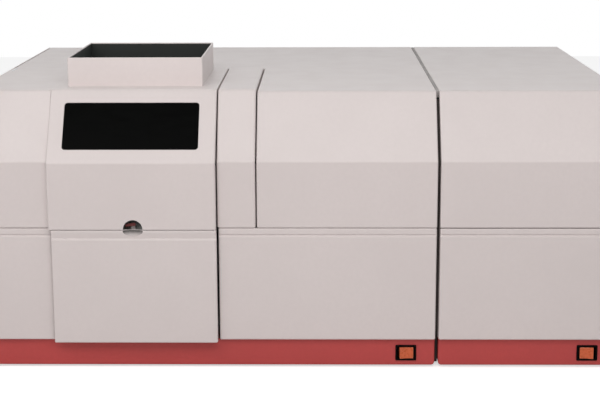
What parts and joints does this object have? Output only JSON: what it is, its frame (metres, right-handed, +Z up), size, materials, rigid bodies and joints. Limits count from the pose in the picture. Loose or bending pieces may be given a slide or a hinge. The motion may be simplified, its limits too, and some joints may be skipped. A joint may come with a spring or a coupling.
{
  "type": "atomic absorption spectrometer",
  "caption": "Two-cabinet bench spectrometer with a liftable flame hood and chimney, a lamp lid, a burner door, an adjustable atomiser, rocker switches and fans.",
  "frame": {"origin": "on the bench, under the middle of the whole bounding box", "axes": "+X to the right along the front, +Y to the back, +Z up"},
  "size_m": [1, 0.735, 0.4744],
  "materials": {
    "grey_enamel": "pale warm grey baked enamel, satin",
    "red_enamel": "dull red baked enamel, satin",
    "plain_steel": "plain stainless sheet",
    "zinc_sheet": "zinc-plated steel",
    "dark_sheet": "dark grey enamel",
    "collar_sheet": "pale enamel outside, dark inside",
    "smoked_pane": "dark smoked, polished",
    "black_plastic": "fine matt texture",
    "orange_lens": "translucent orange, glossy",
    "white_plastic": "smooth inert plastic",
    "titanium": "machined, heat-tinted",
    "brass": "machined",
    "aluminium": "machined, satin anodised",
    "optics_case": "black anodised",
    "lamp_glass": "clear blown glass on a moulded base",
    "circuit_board": "glass-fibre board",
    "winding": "varnished copper winding"
  },
  "bodies": {
    "cabinet": {"base_tray": "red_enamel", "furnace_base_tray": "red_enamel", "main_cover": "grey_enamel", "main_lower_panel": "grey_enamel", "narrow_cover": "grey_enamel", "left_lower_panel": "grey_enamel", "left_side_panel": "grey_enamel", "right_side_panel": "grey_enamel", "rear_panel": "grey_enamel", "furnace_cover": "grey_enamel", "furnace_lower_panel": "grey_enamel", "furnace_left_panel": "grey_enamel", "furnace_right_panel": "grey_enamel", "furnace_rear_panel": "grey_enamel", "burner_liner": "plain_steel", "guide_rods": "plain_steel", "igniter": "plain_steel", "turret_stand": "zinc_sheet", "fold_mirror": "zinc_sheet", "power_supply": "aluminium", "sample_lens_tube": "dark_sheet", "entrance_tube": "dark_sheet", "monochromator": "optics_case", "main_fan_frame": "black_plastic", "furnace_fan_frame": "black_plastic", "main_power_inlet": "black_plastic", "furnace_power_inlet": "black_plastic", "main_switch_bezel": "black_plastic", "furnace_switch_bezel": "black_plastic", "turret_motor": "black_plastic", "gas_manifold": "brass", "optical_bench": "aluminium", "stage_base": "aluminium", "control_board": "circuit_board", "furnace_transformer": "winding", "output_terminals": "brass"},
    "hood": {"flame_hood": "grey_enamel", "hood_window": "smoked_pane", "window_retainer": "zinc_sheet", "chimney_collar": "collar_sheet"},
    "lamp_lid": {"lamp_lid": "grey_enamel"},
    "door": {"burner_door": "grey_enamel"},
    "turret": {"lamp_turret": "aluminium", "cathode_lamp_1": "lamp_glass", "cathode_lamp_2": "lamp_glass", "cathode_lamp_3": "lamp_glass", "cathode_lamp_4": "lamp_glass"},
    "height_screw": {"height_screw": "plain_steel"},
    "carriage": {"height_carriage": "aluminium"},
    "cross_knob": {"cross_knob": "black_plastic"},
    "atomiser": {"cross_slide": "aluminium", "spray_chamber": "white_plastic", "nebulizer": "titanium", "drain_loop": "white_plastic"},
    "burner_head": {"burner_head": "titanium"},
    "nebulizer_nut": {"nebulizer_nut": "brass"},
    "main_rocker": {"main_rocker": "orange_lens"},
    "furnace_rocker": {"furnace_rocker": "orange_lens"},
    "main_fan": {"main_fan_rotor": "black_plastic"},
    "furnace_fan": {"furnace_fan_rotor": "black_plastic"}
  },
  "joints": [
    {"name": "hood_hinge", "type": "hinge", "parent": "cabinet", "child": "hood", "pos_m": [-0.25105, 0.002, 0.4148], "axis": [-1, 0, 0], "range_deg": [0, 75]},
    {"name": "lid_hinge", "type": "hinge", "parent": "cabinet", "child": "lamp_lid", "pos_m": [-0.4415, 0.002, 0.4148], "axis": [-1, 0, 0], "range_deg": [0, 75]},
    {"name": "door_hinge", "type": "hinge", "parent": "cabinet", "child": "door", "pos_m": [-0.3685, -0.362, 0.047], "axis": [0, 0, -1], "range_deg": [0, 85]},
    {"name": "turret_spin", "type": "hinge", "parent": "cabinet", "child": "turret", "pos_m": [-0.438, -0.3235, 0.244], "axis": [0, 1, 0], "continuous": true},
    {"name": "height_wheel_turn", "type": "hinge", "parent": "cabinet", "child": "height_screw", "pos_m": [-0.1701, -0.1515, 0.0604], "axis": [0, 0, 1], "range_deg": [-2162, 2162]},
    {"name": "height_slide", "type": "slide", "parent": "cabinet", "child": "carriage", "axis": [0, 0, 1], "range_m": [-0.012, 0.012]},
    {"name": "cross_knob_turn", "type": "hinge", "parent": "carriage", "child": "cross_knob", "pos_m": [-0.1981, -0.2228, 0.1764], "axis": [0, 1, 0], "range_deg": [-1802, 1802]},
    {"name": "cross_slide_shift", "type": "slide", "parent": "carriage", "child": "atomiser", "axis": [0, 1, 0], "range_m": [-0.005, 0.005]},
    {"name": "burner_turn", "type": "hinge", "parent": "atomiser", "child": "burner_head", "pos_m": [-0.25105, -0.1515, 0.225], "axis": [0, 0, 1], "range_deg": [0, 90]},
    {"name": "nebulizer_nut_turn", "type": "hinge", "parent": "atomiser", "child": "nebulizer_nut", "pos_m": [-0.25105, -0.3035, 0.1604], "axis": [0, 1, 0], "range_deg": [-180, 180]},
    {"name": "main_rocker_tilt", "type": "hinge", "parent": "cabinet", "child": "main_rocker", "pos_m": [0.1674, -0.34538, 0.0245], "axis": [0, 0, 1], "range_deg": [-15, 0]},
    {"name": "furnace_rocker_tilt", "type": "hinge", "parent": "cabinet", "child": "furnace_rocker", "pos_m": [0.4478, -0.34538, 0.0245], "axis": [0, 0, 1], "range_deg": [0, 15]},
    {"name": "main_fan_spin", "type": "hinge", "parent": "cabinet", "child": "main_fan", "pos_m": [0.1023, 0.3164, 0.167], "axis": [0, 1, 0], "continuous": true},
    {"name": "furnace_fan_spin", "type": "hinge", "parent": "cabinet", "child": "furnace_fan", "pos_m": [0.35845, 0.3164, 0.167], "axis": [0, 1, 0], "continuous": true}
  ],
  "couplings": [
    {"joint": "height_wheel_turn", "follows": "height_slide", "rad_per_m": 3141.6},
    {"joint": "cross_knob_turn", "follows": "cross_slide_shift", "rad_per_m": 6283.2}
  ]
}
